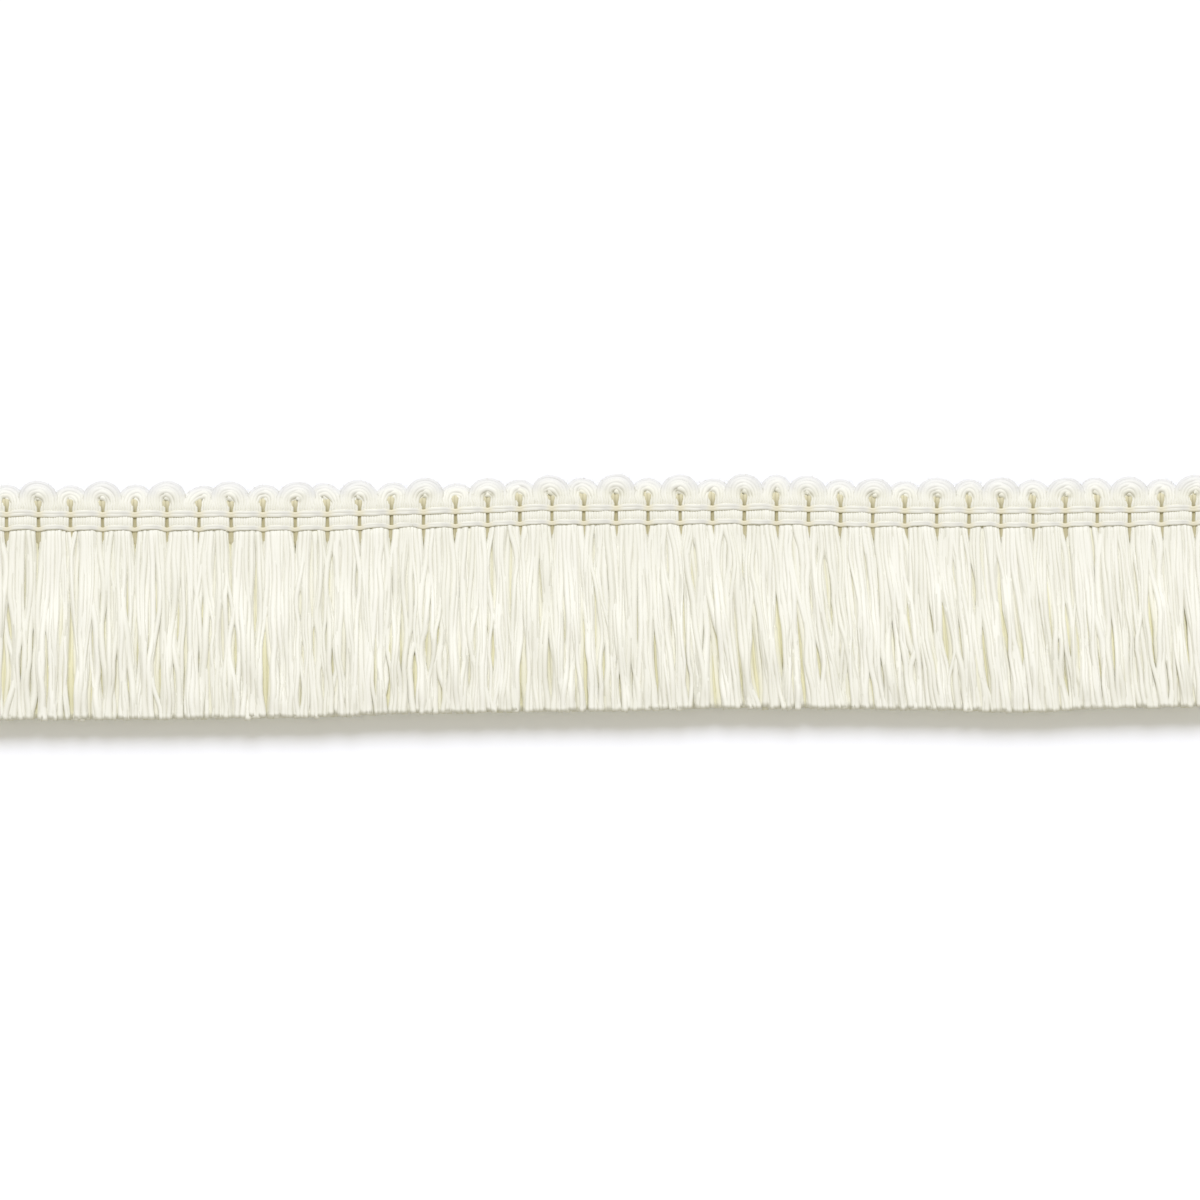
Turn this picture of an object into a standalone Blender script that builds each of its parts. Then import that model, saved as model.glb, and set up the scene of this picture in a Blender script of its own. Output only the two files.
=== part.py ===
"""Ruche trim: a cut length of ivory brush fringe, lying face up.

The weft yarns stand side by side as ribs in the heading. Each group turns over the top
edge in a small arch and comes back down the next rib, and below the heading the yarns
hang free as a thick cut skirt. Two binder cords hold the ribs. X runs along the trim,
+Y points from the skirt to the arches, and the trim rests on z = 0.
"""
import math
import random

import bmesh
import bpy
from mathutils import Matrix, Vector

MM = 0.001

# The trim's length: one rib with the slit beside it, and how many of them
PITCH = 5.3 * MM
RIBS = 39

# Places across the heading, measured in Y from the lower edge of the lower binder
BAND_TOP = 4.2 * MM
UPPER_BINDER = 2.9 * MM
BETWEEN_BINDERS = 1.75 * MM
LOWER_BINDER = 0.58 * MM
BAND_BOTTOM = -0.6 * MM
STRIP_TOP = -0.95 * MM
STRIP_BOTTOM = -2.15 * MM

# Thicknesses
RIB_HEIGHT = 2.6 * MM
SKIRT_HEIGHT = 4.2 * MM
BINDER_RADIUS = 0.5 * MM
ROPE_RADIUS = 1.05 * MM

# The trim's unevenness along its length, in mm: how far the heading rises, how long the
# skirt hangs below the heading, and how far the skirt's tips lean towards +X
OUTLINE_COLUMNS = ("x", "rise", "skirt", "lean")
OUTLINE = (
    (-110.0, -1.00, 30.7, -0.2),
    (-75.0, -1.05, 30.6, 0.1),
    (-50.0, -1.05, 30.3, 0.4),
    (-30.0, -0.60, 30.0, -0.3),
    (-7.0, 0.00, 30.3, 0.6),
    (23.0, 0.05, 29.8, 2.1),
    (50.0, -0.40, 29.6, 2.6),
    (68.0, -0.45, 30.0, 2.6),
    (84.0, -0.30, 29.4, 2.2),
    (110.0, 0.10, 29.5, 1.2),
)

# Across one rib, from the slit on its left: X as a share of the pitch from the rib's middle,
# and the share of the rib's height
SECTION_COLUMNS = ("across", "height")
BAND_SECTION = ((-0.50, 0.35), (-0.40, 0.86), (0.00, 1.00), (0.40, 0.86))
STRIP_SECTION = ((-0.50, 0.35), (-0.42, 0.88), (0.42, 0.88))

# Down the band and down the strip: Y, and the share of the rib's height that is left
# there. The binders press a groove into the ribs.
ROW_COLUMNS = ("y", "height")
BAND_ROWS = (
    (BAND_TOP, 0.92),
    (UPPER_BINDER, 0.62),
    (BETWEEN_BINDERS, 1.00),
    (LOWER_BINDER, 0.62),
    (BAND_BOTTOM, 0.94),
)
STRIP_ROWS = ((STRIP_TOP, 0.95), (STRIP_BOTTOM, 0.92))

# One arch, from its left foot over the crown to its right foot: X as a share of the half
# width, Y as a share of the way from foot to crown, and the swell of the rope
ARCH_COLUMNS = ("across", "up", "swell")
ARCH_PATH = (
    (-0.92, 0.00, 0.75),
    (-1.05, 0.52, 0.92),
    (-0.66, 0.90, 1.00),
    (0.00, 1.00, 1.00),
    (0.66, 0.90, 1.00),
    (1.05, 0.52, 0.92),
    (0.92, 0.00, 0.75),
)
ARCH_FOOT = 3.5 * MM
ARCH_LIFTED = 0.5
FOOT_Z = 1.00 * MM
CROWN_UNEVEN = 0.12 * MM

# The two kinds of arch take turns over the slits: the number of the first slit each one
# turns over, half its width, the Y of its crown and the height of its rope
ARCH_KINDS = ("name", "first_slit", "half_width", "crown", "rope_z")
HIGH_ARCHES = ("high_arches", 2, 1.98 * MM, 7.85 * MM, 1.90 * MM)
LOW_ARCHES = ("low_arches", 1, 1.78 * MM, 7.30 * MM, 1.16 * MM)

# A binder's centre line across one rib: X as a share of the pitch from the rib's middle,
# how far it sags in Y, and its height, in mm
BINDER_COLUMNS = ("across", "sag", "z")
BINDER_PATH = ((-0.50, 0.20, 2.38), (0.00, 0.05, 2.51))

# The skirt's two staggered rows of locks: how many in each rib, how much of its place each
# one fills, the points down its length, and how much shorter the row is cut
ROW_OF_LOCKS = ("count", "fill", "steps", "shorter")
LOWER_ROW = (3, 0.82, (0.0, 0.14, 1.0), 0.0)
UPPER_ROW = (4, 0.78, (0.0, 0.14, 1.0), 1.3 * MM)

# One lock's section: X as a share of its half width, Z as a share of the skirt's height
LOWER_SECTION = ((-1.0, 0.0), (1.0, 0.0), (0.0, 0.62))
UPPER_SECTION = ((-1.0, 0.70), (0.0, 0.36), (1.0, 0.70), (0.0, 1.0))

# The roots gather in each rib, buried in the strip and clear of its underside
GATHERED = 0.86
SPREAD_BY = 0.14
ROOT_DEPTH = 0.7 * MM
ROOT_CLEARANCE = 0.16 * MM
ROOT_HEIGHT = 2.05 * MM

# The skirt's own unevenness: lengths that differ, and locks that draw together in clumps
LENGTH_UNEVEN = 0.45 * MM
CLUMP_WAVE = 12.7 * MM
CLUMP_SHIFT = 0.17 * MM

IVORY_YARN = (0.88, 0.86, 0.76, 1.0)
IVORY_BINDER = (0.90, 0.88, 0.79, 1.0)


def clear_scene():
    for old in list(bpy.data.objects):
        bpy.data.objects.remove(old, do_unlink=True)


def new_collection(name):
    made = bpy.data.collections.new(name)
    bpy.context.scene.collection.children.link(made)
    return made


def cloth_material(name, colour, roughness):
    made = bpy.data.materials.new(name)
    made.use_nodes = True
    shader = made.node_tree.nodes["Principled BSDF"]
    shader.inputs["Base Color"].default_value = colour
    shader.inputs["Roughness"].default_value = roughness
    shader.inputs["Metallic"].default_value = 0.0
    return made


def outline_at(x, column):
    """One column of OUTLINE at this X, in metres, eased between its rows."""
    at = OUTLINE_COLUMNS.index(column)
    x_mm = x / MM
    rows = OUTLINE
    if x_mm <= rows[0][0]:
        return rows[0][at] * MM
    for low, high in zip(rows, rows[1:]):
        if x_mm <= high[0]:
            share = (x_mm - low[0]) / (high[0] - low[0])
            eased = share * share * (3 - 2 * share)
            return (low[at] + (high[at] - low[at]) * eased) * MM
    return rows[-1][at] * MM


def slit_x(index):
    """X of the slit at the left of rib number index."""
    return (index - RIBS / 2) * PITCH


def rib_stations(section):
    """(X, share of the rib's height) of every point across the whole trim."""
    stations = []
    for rib in range(RIBS):
        middle = slit_x(rib + 0.5)
        for across, height in section:
            stations.append((middle + across * PITCH, height))
    stations.append((slit_x(RIBS), section[0][1]))
    return stations


def ribbed_band(name, section, rows, collection):
    """A band with a flat back on z = 0 and the ribs raised on its face."""
    stations = rib_stations(section)
    across, down = len(stations), len(rows)
    mesh = bpy.data.meshes.new(name)
    shape = bmesh.new()
    bmesh.ops.create_grid(shape, x_segments=across - 1, y_segments=down - 1, size=0.5)
    for point in shape.verts:
        column = round((point.co.x + 0.5) * (across - 1))
        row = round((0.5 - point.co.y) * (down - 1))
        x, height = stations[column]
        y, share = rows[row]
        point.co = Vector((x, y + outline_at(x, "rise"), RIB_HEIGHT * height * share))
    lifted = bmesh.ops.extrude_face_region(shape, geom=shape.faces[:])
    for item in lifted["geom"]:
        if isinstance(item, bmesh.types.BMVert):
            item.co.z = 0.0
    bmesh.ops.recalc_face_normals(shape, faces=shape.faces[:])
    flat = [edge for edge in shape.edges if all(point.co.z == 0.0 for point in edge.verts)]
    bmesh.ops.dissolve_limit(
        shape,
        angle_limit=math.radians(1),
        use_dissolve_boundaries=False,
        verts=list({point for edge in flat for point in edge.verts}),
        edges=flat,
    )
    shape.to_mesh(mesh)
    shape.free()
    made = bpy.data.objects.new(name, mesh)
    collection.objects.link(made)
    return made


def mesh_from_curve(curve_object, collection):
    """The curve's tube as a mesh object with its caps welded; the curve is removed."""
    bpy.context.view_layer.update()
    graph = bpy.context.evaluated_depsgraph_get()
    mesh = bpy.data.meshes.new_from_object(curve_object.evaluated_get(graph))
    shape = bmesh.new()
    shape.from_mesh(mesh)
    bmesh.ops.remove_doubles(shape, verts=shape.verts[:], dist=0.001 * MM)
    bmesh.ops.recalc_face_normals(shape, faces=shape.faces[:])
    shape.to_mesh(mesh)
    shape.free()
    name = curve_object.name
    made = bpy.data.objects.new(name + "_mesh", mesh)
    made.matrix_world = curve_object.matrix_world.copy()
    collection.objects.link(made)
    bpy.data.objects.remove(curve_object, do_unlink=True)
    made.name = name
    return made


def tube_curve(name, routes, radius, sides_resolution, collection):
    """One curve object with a POLY spline for each route of (x, y, z, swell) points."""
    data = bpy.data.curves.new(name, "CURVE")
    data.dimensions = "3D"
    data.bevel_depth = radius
    data.bevel_resolution = sides_resolution
    data.use_fill_caps = True
    data.twist_mode = "Z_UP"
    for route in routes:
        spline = data.splines.new("POLY")
        spline.points.add(len(route) - 1)
        for point, (x, y, z, swell) in zip(spline.points, route):
            point.co = (x, y, z, 1.0)
            point.radius = swell
    made = bpy.data.objects.new(name, data)
    collection.objects.link(made)
    return made


def arch_route(slit, half_width, crown, rope_z):
    """One arch over a slit, from the rib on its left to the rib on its right."""
    middle = slit_x(slit)
    foot = ARCH_FOOT + outline_at(middle, "rise")
    rise = crown - ROPE_RADIUS - ARCH_FOOT + CROWN_UNEVEN * math.sin(2.1 * slit + 0.5)
    route = []
    for across, up, swell in ARCH_PATH:
        lifted = min(1.0, up / ARCH_LIFTED)
        x = middle + across * half_width
        z = FOOT_Z + lifted * (rope_z - FOOT_Z)
        route.append((x, foot + up * rise, z, swell))
    return route


def join_into(target, tool, helpers):
    """A Boolean union of tool into target; tool stays behind as a hidden helper."""
    helpers.objects.link(tool)
    for other in list(tool.users_collection):
        if other != helpers:
            other.objects.unlink(tool)
    tool.hide_render = True
    tool.display_type = "WIRE"
    union = target.modifiers.new("join_" + tool.name, "BOOLEAN")
    union.operation = "UNION"
    union.solver = "EXACT"
    union.object = tool


def build_heading(collection, helpers, material):
    """The ribbed band with its looped edge: high and low arches take turns."""
    band = ribbed_band("heading", BAND_SECTION, BAND_ROWS, collection)
    for name, first_slit, half_width, crown, rope_z in (HIGH_ARCHES, LOW_ARCHES):
        slits = range(first_slit, RIBS, 2)
        routes = [arch_route(slit, half_width, crown, rope_z) for slit in slits]
        rope = tube_curve(name, routes, ROPE_RADIUS, 1, collection)
        join_into(band, mesh_from_curve(rope, collection), helpers)
    band.data.materials.append(material)


def build_binder(name, height, collection, material):
    """A cord that crosses every rib and sags a little over each slit."""
    route = []
    for rib in range(RIBS):
        for across, sag, z in BINDER_PATH:
            x = slit_x(rib + 0.5) + across * PITCH
            route.append((x, height - sag * MM + outline_at(x, "rise"), z * MM, 1.0))
    x = slit_x(RIBS)
    _, sag, z = BINDER_PATH[0]
    route.append((x, height - sag * MM + outline_at(x, "rise"), z * MM, 1.0))
    cord = tube_curve(name, [route], BINDER_RADIUS, 0, collection)
    cord.data.materials.append(material)


def lock_rings(root_x, rib_x, row, section, uneven):
    """The rings of one lock from its root to its cut end, as lists of points. It spreads
    out of its rib, then leans with the skirt as its share of the length grows."""
    count, fill, steps, shorter = row
    rise = outline_at(root_x, "rise")
    clump = CLUMP_SHIFT * math.sin(math.tau * root_x / CLUMP_WAVE)
    shift = outline_at(root_x, "lean") + clump
    root_y = STRIP_BOTTOM + ROOT_DEPTH
    usual = root_y + outline_at(root_x, "skirt")
    reach = usual - shorter + uneven
    rings = []
    for share in steps:
        spread = min(1.0, share / SPREAD_BY)
        width = GATHERED + (1.0 - GATHERED) * spread
        lift = ROOT_CLEARANCE * (1.0 - spread)
        down = share * reach / usual
        height = ROOT_HEIGHT + (SKIRT_HEIGHT - ROOT_HEIGHT) * down - lift
        middle = rib_x + (root_x - rib_x) * width + down * shift
        half = width * fill * PITCH / max(LOWER_ROW[0], UPPER_ROW[0]) / 2
        y = root_y + rise - share * reach
        rings.append([Vector((middle + u * half, y, lift + v * height)) for u, v in section])
    return rings


def add_loft(shape, rings):
    """Joins rings of points into one closed tube."""
    loops = [[shape.verts.new(point) for point in ring] for ring in rings]
    sides = len(loops[0])
    shape.faces.new(loops[0])
    shape.faces.new(loops[-1])
    for first, second in zip(loops, loops[1:]):
        for side in range(sides):
            after = (side + 1) % sides
            shape.faces.new((first[side], second[side], second[after], first[after]))


def build_skirt(collection, helpers, material):
    """The cut skirt: a narrow ribbed strip with the root of every lock fused into it."""
    strip = ribbed_band("skirt", STRIP_SECTION, STRIP_ROWS, collection)
    chance = random.Random(11)
    shape = bmesh.new()
    place = PITCH / max(LOWER_ROW[0], UPPER_ROW[0])
    for rib in range(RIBS):
        rib_x = slit_x(rib + 0.5)
        for row, section in ((LOWER_ROW, LOWER_SECTION), (UPPER_ROW, UPPER_SECTION)):
            count = row[0]
            for lock in range(count):
                root_x = rib_x + (lock - (count - 1) / 2) * place
                uneven = chance.uniform(-LENGTH_UNEVEN, LENGTH_UNEVEN)
                add_loft(shape, lock_rings(root_x, rib_x, row, section, uneven))
    bmesh.ops.recalc_face_normals(shape, faces=shape.faces[:])
    mesh = bpy.data.meshes.new("locks")
    shape.to_mesh(mesh)
    shape.free()
    locks = bpy.data.objects.new("locks", mesh)
    collection.objects.link(locks)
    join_into(strip, locks, helpers)
    strip.data.materials.append(material)


def settle_on_origin(trim):
    """Moves the trim so that its box is centred in X and Y and rests on z = 0."""
    bpy.context.view_layer.update()
    graph = bpy.context.evaluated_depsgraph_get()
    low = Vector((math.inf, math.inf, math.inf))
    high = -low
    for part in trim.objects:
        shown = part.evaluated_get(graph)
        mesh = shown.to_mesh()
        for point in mesh.vertices:
            placed = part.matrix_world @ point.co
            low = Vector(map(min, low, placed))
            high = Vector(map(max, high, placed))
        shown.to_mesh_clear()
    middle = (low + high) / 2
    shift = Matrix.Translation((-middle.x, -middle.y, -low.z))
    for thing in bpy.data.objects:
        thing.matrix_world = shift @ thing.matrix_world


def build():
    clear_scene()
    trim = new_collection("ruche_trim")
    helpers = new_collection("helpers")
    yarn = cloth_material("ivory_yarn", IVORY_YARN, 0.75)
    binding = cloth_material("ivory_binder", IVORY_BINDER, 0.7)
    build_heading(trim, helpers, yarn)
    build_skirt(trim, helpers, yarn)
    build_binder("upper_binder", UPPER_BINDER, trim, binding)
    build_binder("lower_binder", LOWER_BINDER, trim, binding)
    settle_on_origin(trim)


build()
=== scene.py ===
# %% [markdown]
# # A ruche trim of ivory yarn
#
# This trim is a brush fringe: a narrow heading with a cut skirt hanging from it. It is made
# of one soft yarn, laid in bundles. Each bundle comes up from the skirt, lies flat as half
# a rib of the heading, turns over the top edge in a small arch, and goes down again in the
# next rib. Two threads cross the ribs and hold them.
#
# The lesson builds it from the heading down: the measures, the yarn, the bundles, the
# skirt, the threads, the fluff, and then the finishes and the light.

import bpy
import numpy as np
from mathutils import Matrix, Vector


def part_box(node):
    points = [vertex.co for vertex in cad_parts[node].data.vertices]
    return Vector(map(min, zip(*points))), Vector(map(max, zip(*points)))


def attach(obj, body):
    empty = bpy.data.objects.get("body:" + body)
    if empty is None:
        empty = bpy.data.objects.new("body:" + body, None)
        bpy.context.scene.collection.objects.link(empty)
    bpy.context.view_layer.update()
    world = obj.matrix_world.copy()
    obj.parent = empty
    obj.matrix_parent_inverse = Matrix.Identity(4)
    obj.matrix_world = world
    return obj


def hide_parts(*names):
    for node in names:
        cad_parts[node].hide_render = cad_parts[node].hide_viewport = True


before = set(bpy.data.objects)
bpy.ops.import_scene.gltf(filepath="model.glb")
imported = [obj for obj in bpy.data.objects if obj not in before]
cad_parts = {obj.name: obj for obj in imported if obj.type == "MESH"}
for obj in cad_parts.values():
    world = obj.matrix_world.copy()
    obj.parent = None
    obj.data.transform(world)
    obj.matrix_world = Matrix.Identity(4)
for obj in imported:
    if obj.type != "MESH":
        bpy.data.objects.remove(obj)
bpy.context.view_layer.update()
MM = 0.001

# %% [markdown]
# ## The measures
#
# A trim repeats, so a few numbers place everything: the pitch from rib to rib, the heights
# of the threads and arches above the heading's lower line, and the thickness. They are in
# millimetres, like a maker's notes, and only the last step turns them into metres. The
# ribs, the line and the skirt are measured from the frame or repeat its values, so that
# the yarns lie where its solids are.

# %% Measures of the heading and the skirt
PITCH = 5.3
RIBS = 39
SLIT = 0.70
HIGH_CROWN = 8.4
LOW_CROWN = 7.85
UPPER_THREAD = 2.90
LOWER_THREAD = 0.58
RIB_HEIGHT = 2.6
SKIRT_HEIGHT = 4.15
HEADING_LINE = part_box("skirt")[1].y / MM + 0.90
print("heading's lower line at y =", round(HEADING_LINE, 2), "mm")

# %% [markdown]
# Nothing in a woven trim is quite straight. This short table says, for some places along
# it, how far the heading rises, how long the skirt hangs below the heading and how far its
# tips lean to the right. Between two rows the values follow the smooth curve 3t² - 2t³.

# %% The unevenness along the trim
OUTLINE_COLUMNS = ("x", "rise", "skirt", "lean")
OUTLINE = np.array(
    [
        (-110.0, -1.00, 30.7, -0.2),
        (-75.0, -1.05, 30.6, 0.1),
        (-50.0, -1.05, 30.3, 0.4),
        (-30.0, -0.60, 30.0, -0.3),
        (-7.0, 0.00, 30.3, 0.6),
        (23.0, 0.05, 29.8, 2.1),
        (50.0, -0.40, 29.6, 2.6),
        (68.0, -0.45, 30.0, 2.6),
        (84.0, -0.30, 29.4, 2.2),
        (110.0, 0.10, 29.5, 1.2),
    ]
)


def eased(table, columns, x, column):
    """One column of a table at x: from row to row it moves by 3t² - 2t³, where t is the
    share of the way between the two rows."""
    at = columns.index(column)
    row = np.clip(np.searchsorted(table[:, 0], x) - 1, 0, len(table) - 2)
    low, high = table[row], table[row + 1]
    t = np.clip((x - low[..., 0]) / (high[..., 0] - low[..., 0]), 0, 1)
    return low[..., at] + (high[..., at] - low[..., at]) * t * t * (3 - 2 * t)


def outline(x, column):
    """The trim's own table read at x."""
    return eased(OUTLINE, OUTLINE_COLUMNS, x, column)


def slit_x(index):
    """The middle of the slit at the left of rib number index."""
    return (np.asarray(index) - RIBS / 2) * PITCH


print("slits run from", slit_x(0), "to", slit_x(RIBS), "mm")

# %% [markdown]
# ## Yarns as tubes
#
# A yarn is a tube carried along a path. All the yarns of a piece are made at once: their
# paths are one array of yarns, stations and coordinates, and the ring of each station is
# spread out from it with two directions, sideways and up. The path never runs straight up,
# so the vertical can always tell where up is. A soft yarn under its neighbours' weight is
# wider than it is high, so the ring has two radii.
#
# The piece also keeps what its finish needs later: a UV map (once round the yarn, and its
# length in centimetres), one shade for each yarn, because a dyed yarn is never the same all
# over (in the skirt half of it is painted sheen), how deep each point lies in the trim, which
# the finish turns into painted shade, and a painted grey shade near the outer edge of an arch
# and where a thread is pulled tight. A yarn's sides and back get more of the deep painted
# shade than its top, as they face its neighbours.


# %% Tubes carried along paths
# How much more painted shade, the deep tone, a yarn's sides and back get than its top.
SIDE_PAINTED_SHADE = 0.45


def unit(vectors):
    """Each vector divided by its length."""
    return vectors / np.linalg.norm(vectors, axis=-1, keepdims=True)


def add_tubes(name, paths, wide, thick, sides, shades, depth, painted_grey=0.0):
    """One mesh of closed tubes. A ring point is the path's point plus side * wide * cos(turn)
    plus up * thick * sin(turn), where side is the path's direction crossed with vertical
    and up is side crossed with the direction."""
    yarns, stations = paths.shape[:2]
    onward = unit(np.gradient(paths, axis=1))
    side = unit(np.cross(onward, (0.0, 0.0, 1.0)))
    up = np.cross(side, onward)
    turn = np.linspace(0, 2 * np.pi, sides, endpoint=False) - np.pi / 2
    wide = np.broadcast_to(wide, (yarns, stations))[..., None, None]
    thick = np.broadcast_to(thick, (yarns, stations))[..., None, None]
    across = side[:, :, None] * wide * np.cos(turn)[:, None]
    across = across + up[:, :, None] * thick * np.sin(turn)[:, None]
    points = (paths[:, :, None] + across) * MM

    corner = np.arange(yarns * stations * sides).reshape(yarns, stations, sides)
    after = np.roll(corner, -1, axis=2)
    walls = np.stack((corner[:, :-1], corner[:, 1:], after[:, 1:], after[:, :-1]), -1)
    first_caps, last_caps = corner[:, 0], corner[:, -1, ::-1]
    loops = np.concatenate((walls.ravel(), first_caps.ravel(), last_caps.ravel()))
    sizes = np.concatenate((np.full(walls.size // 4, 4), np.full(2 * yarns, sides)))
    starts = np.concatenate(((0,), np.cumsum(sizes)[:-1]))

    mesh = bpy.data.meshes.new(name)
    mesh.vertices.add(corner.size)
    mesh.vertices.foreach_set("co", points.astype(np.float32).ravel())
    mesh.loops.add(len(loops))
    mesh.loops.foreach_set("vertex_index", loops.astype(np.int32))
    mesh.polygons.add(len(sizes))
    mesh.polygons.foreach_set("loop_start", starts.astype(np.int32))
    mesh.polygons.foreach_set("loop_total", sizes.astype(np.int32))
    mesh.polygons.foreach_set("use_smooth", np.arange(len(sizes)) < walls.size // 4)

    run = np.linalg.norm(np.diff(paths, axis=1), axis=2).cumsum(axis=1) / 10
    run = np.pad(run, ((0, 0), (1, 0)))
    u = np.broadcast_to(np.arange(sides) / sides, corner.shape)
    v = np.broadcast_to(run[..., None] + 3.7 * shades[:, None, None], corner.shape)
    wall_u = np.stack((u[:, :-1], u[:, 1:], u[:, 1:] + 1 / sides, u[:, :-1] + 1 / sides), -1)
    cap_uv = np.stack((u.ravel()[loops], v.ravel()[loops]), -1)[walls.size :]
    wall_uv = np.stack((wall_u.ravel(), v.ravel()[loops[: walls.size]]), -1)
    uv = np.concatenate((wall_uv, cap_uv))
    mesh.uv_layers.new(name="yarn").data.foreach_set("uv", uv.astype(np.float32).ravel())
    shade_at = np.broadcast_to(shades[:, None, None], corner.shape)
    # Painted shade on the sides and back of each yarn.
    side_painted_shade = SIDE_PAINTED_SHADE * ((1 - np.sin(turn)) / 2) ** 0.8
    painted_shade_at = np.clip(depth[:, :, None] + side_painted_shade, 0, 1) + np.zeros(corner.shape)
    painted_grey_at = np.broadcast_to(np.asarray(painted_grey)[..., None], corner.shape)
    # The finish paints shade from the depth and from the grey value; shade is a tone for each
    # yarn.
    for label, values in (("shade", shade_at), ("depth", painted_shade_at), ("painted_grey", painted_grey_at)):
        kept = mesh.attributes.new(label, "FLOAT", "POINT")
        kept.data.foreach_set("value", values.astype(np.float32).ravel())
    mesh.validate()
    mesh.update()
    made = bpy.data.objects.new(name, mesh)
    bpy.context.scene.collection.objects.link(made)
    print(name, "yarns:", yarns, "triangles:", walls.size // 2 + 2 * yarns * (sides - 2))
    return made


# %% [markdown]
# Yarns wander. A path that follows its neighbours exactly looks combed, so each yarn gets
# its own slow wave: a sum of three cosines with random phases. The random numbers come
# from one seeded source, so that the trim is the same each time.

# %% A slow random wave for every yarn
chance = np.random.default_rng(7)


def wander(yarns, t, waves):
    """For each yarn a sum of cosines, cos(2π w t + phase) / w for every w in waves,
    scaled so that it stays near -1 to 1."""
    phases = chance.uniform(0, 2 * np.pi, (len(waves), yarns, 1))
    terms = [np.cos(2 * np.pi * w * t + p) / w for w, p in zip(waves, phases)]
    return sum(terms) / sum(1 / w for w in waves)


def smooth(t):
    """3t² - 2t³ of t held between 0 and 1."""
    t = np.clip(t, 0, 1)
    return t * t * (3 - 2 * t)


print("wave range:", wander(50, np.linspace(0, 1, 9), (0.6, 1.3, 2.1)).round(2).max())

# %% [markdown]
# ## One bundle of the heading
#
# Each yarn is a few loose strands, and under the threads they spread side by side into
# columns and rows. Where the bundle is half a rib, the columns stand next to the slit. In
# the arch the same columns and rows fan out into a loose, flat rope. The high arches carry
# six columns and the low ones five, which makes eleven strands across each rib.
#
# The rows aren't alike. Deep down the ribs touch, so a slit is a groove that closes towards
# the back of the heading. And an arch isn't a ring with a hole: its strands lie almost flat,
# each half over the next, and the lower rows turn more tightly and fill the middle. So one
# looks at a puffy lobe that sinks a little towards the slit.

# %% Columns and rows of a bundle
ACROSS_RIB = 11
COLUMN = (PITCH - SLIT) / ACROSS_RIB
WIDE = 0.34
THICK = 0.24
# Columns: height in the rib, share of the gap, size of the turn, height in the arch
ROWS = np.array(
    [
        (0.00, 0.00, 0.55, -0.70),
        (0.34, 0.00, 0.55, -0.20),
        (0.72, 0.35, 0.72, 0.34),
        (1.00, 1.00, 1.00, 0.60),
    ]
)
# Columns: number of columns, half width, half the rope, height of its middle, crown
HIGH_ARCH = (6, 1.76, 1.66, 1.90, HIGH_CROWN)
LOW_ARCH = (5, 1.54, 1.44, 1.65, LOW_CROWN)
BOWL = 0.16
BACK_FALLS = 0.34
ARCH_SPREAD = 1.60
MOVES_LEFT = 0.18
LOWEST = 1.06 * THICK


def bundle_grid(columns):
    """Every yarn's column as a number from -1 to 1, and its row's line of ROWS."""
    a, row = np.meshgrid(np.linspace(-1, 1, columns), np.arange(len(ROWS)))
    return a.ravel(), ROWS[row.ravel()]


print("yarns in a high and a low bundle:", HIGH_ARCH[0] * len(ROWS), LOW_ARCH[0] * len(ROWS))

# %% [markdown]
# ## The path of a bundle's yarn
#
# Half a yarn is one leg: from the lower thread up through the rib to the crown of the arch.
# The other leg is its mirror image in the slit, with its own wandering. The two threads
# press a groove into the ribs. The arch is a flattened half ellipse: a little squarer at its
# shoulders than a true one, so neighbouring arches meet high up.

# %% One leg of every yarn
RIB_STEPS = np.array([0.35, 0.8, 1.25, 1.7, 2.2, 2.55, 3.25, 3.65, 4.05])
ARCH_STEPS = np.linspace(0, np.pi / 2, 8)
ARCH_BASE = 4.6
SHOULDER = 0.82
PRESSED_BY = 0.05
UPPER_DIP = 0.75
LOWER_DIP = 0.58
RIB_WANDER = 0.05
RIB_ROUNDING = 0.10
TURNED_AT = 1.1
ARCH_WANDER = 0.08
INNER_WANDER = 0.05
STRAND_LEANS = 0.05
STRAND_SINKS = 0.02
BOWL_TO_THE_LEFT = 0.7


def pressed(y):
    """The share of the rib's height that is left under the threads: a dip of exp(-d⁴)."""
    near_upper = np.exp(-(((y - UPPER_THREAD) / UPPER_DIP) ** 4))
    near_lower = np.exp(-(((y - LOWER_THREAD) / LOWER_DIP) ** 4))
    return 1 - PRESSED_BY * (near_upper + near_lower)


def rib_leg(slit, a, rows, side, arch):
    """x, y, z of the yarns in the rib: columns beside the slit, rows over the rib's height,
    lower at the rib's rounded edges and under the threads."""
    columns = arch[0]
    y = RIB_STEPS[None, :] + 0 * a[:, None]
    out = SLIT / 2 * rows[:, 1:2] + COLUMN * (columns / 2 + a[:, None] * (columns - 1) / 2)
    out = out + RIB_WANDER * wander(len(a), y / 6, (0.7, 1.5, 2.4))
    off_middle = np.abs(out - PITCH / 2) / (PITCH / 2 - SLIT / 2)
    height = RIB_HEIGHT * pressed(y) * (1 - RIB_ROUNDING * off_middle**3)
    z = LOWEST + rows[:, 0:1] * (height - 2 * THICK)
    return slit[:, None] + side * out, y, z


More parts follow.
